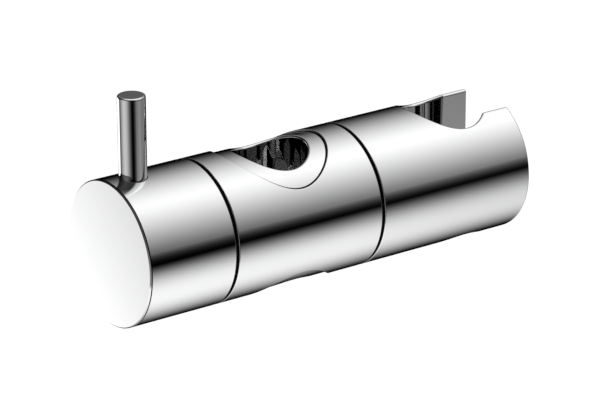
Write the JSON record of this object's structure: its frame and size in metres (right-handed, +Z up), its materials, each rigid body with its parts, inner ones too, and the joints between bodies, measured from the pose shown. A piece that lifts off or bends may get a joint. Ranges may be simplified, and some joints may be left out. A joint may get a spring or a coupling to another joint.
{
  "type": "shower rail slider",
  "caption": "Chromed cylindrical shower rail slider: a pin lever knob clamps it on a round rail, and a tilting end section holds a handset in a slotted conical socket.",
  "frame": {"origin": "where the barrel's axis crosses the axis of the rail bore", "axes": "+X along the barrel from the lever knob to the open end of the handset holder, +Z up along the rail bore and the lever pin, -Y towards the viewer in the picture"},
  "size_m": [0.1333, 0.0426, 0.0665],
  "materials": {
    "chrome_plate": "polished",
    "brass_metal": "machined",
    "stainless_steel": "bright",
    "black_acetal": "satin",
    "rubber_ring": "matte",
    "pad_nylon": "satin"
  },
  "bodies": {
    "slider_body": {"body_barrel": "chrome_plate", "rail_bush": "chrome_plate", "clamp_gland": "brass_metal", "thrust_washer": "black_acetal", "knob_glide_washer": "black_acetal", "pivot_spindle": "brass_metal", "spindle_o_ring": "rubber_ring", "holder_glide_washer": "black_acetal", "stop_washer": "stainless_steel", "holder_screw": "stainless_steel"},
    "knob": {"lever_knob": "chrome_plate", "lever_pin": "chrome_plate", "knob_end_cap": "chrome_plate", "knob_screw": "stainless_steel", "knob_washer": "stainless_steel", "drive_sleeve": "brass_metal", "sleeve_o_ring": "rubber_ring"},
    "clamp": {"clamp_plunger": "brass_metal", "clamp_pad": "pad_nylon"},
    "holder": {"handset_holder": "chrome_plate", "screw_plug": "chrome_plate", "disc_spring": "stainless_steel"}
  },
  "joints": [
    {"name": "knob_turn", "type": "hinge", "parent": "slider_body", "child": "knob", "pos_m": [-0.0393, 0, 0], "axis": [1, 0, 0], "range_deg": [0, 90]},
    {"name": "clamp_press", "type": "slide", "parent": "slider_body", "child": "clamp", "axis": [1, 0, 0], "range_m": [0, 0.0006]},
    {"name": "holder_tilt", "type": "hinge", "parent": "slider_body", "child": "holder", "pos_m": [0.032, 0, 0], "axis": [1, 0, 0], "range_deg": [-60, 60]}
  ],
  "couplings": [
    {"joint": "clamp_press", "follows": "knob_turn", "m_per_rad": 0.00038197}
  ]
}
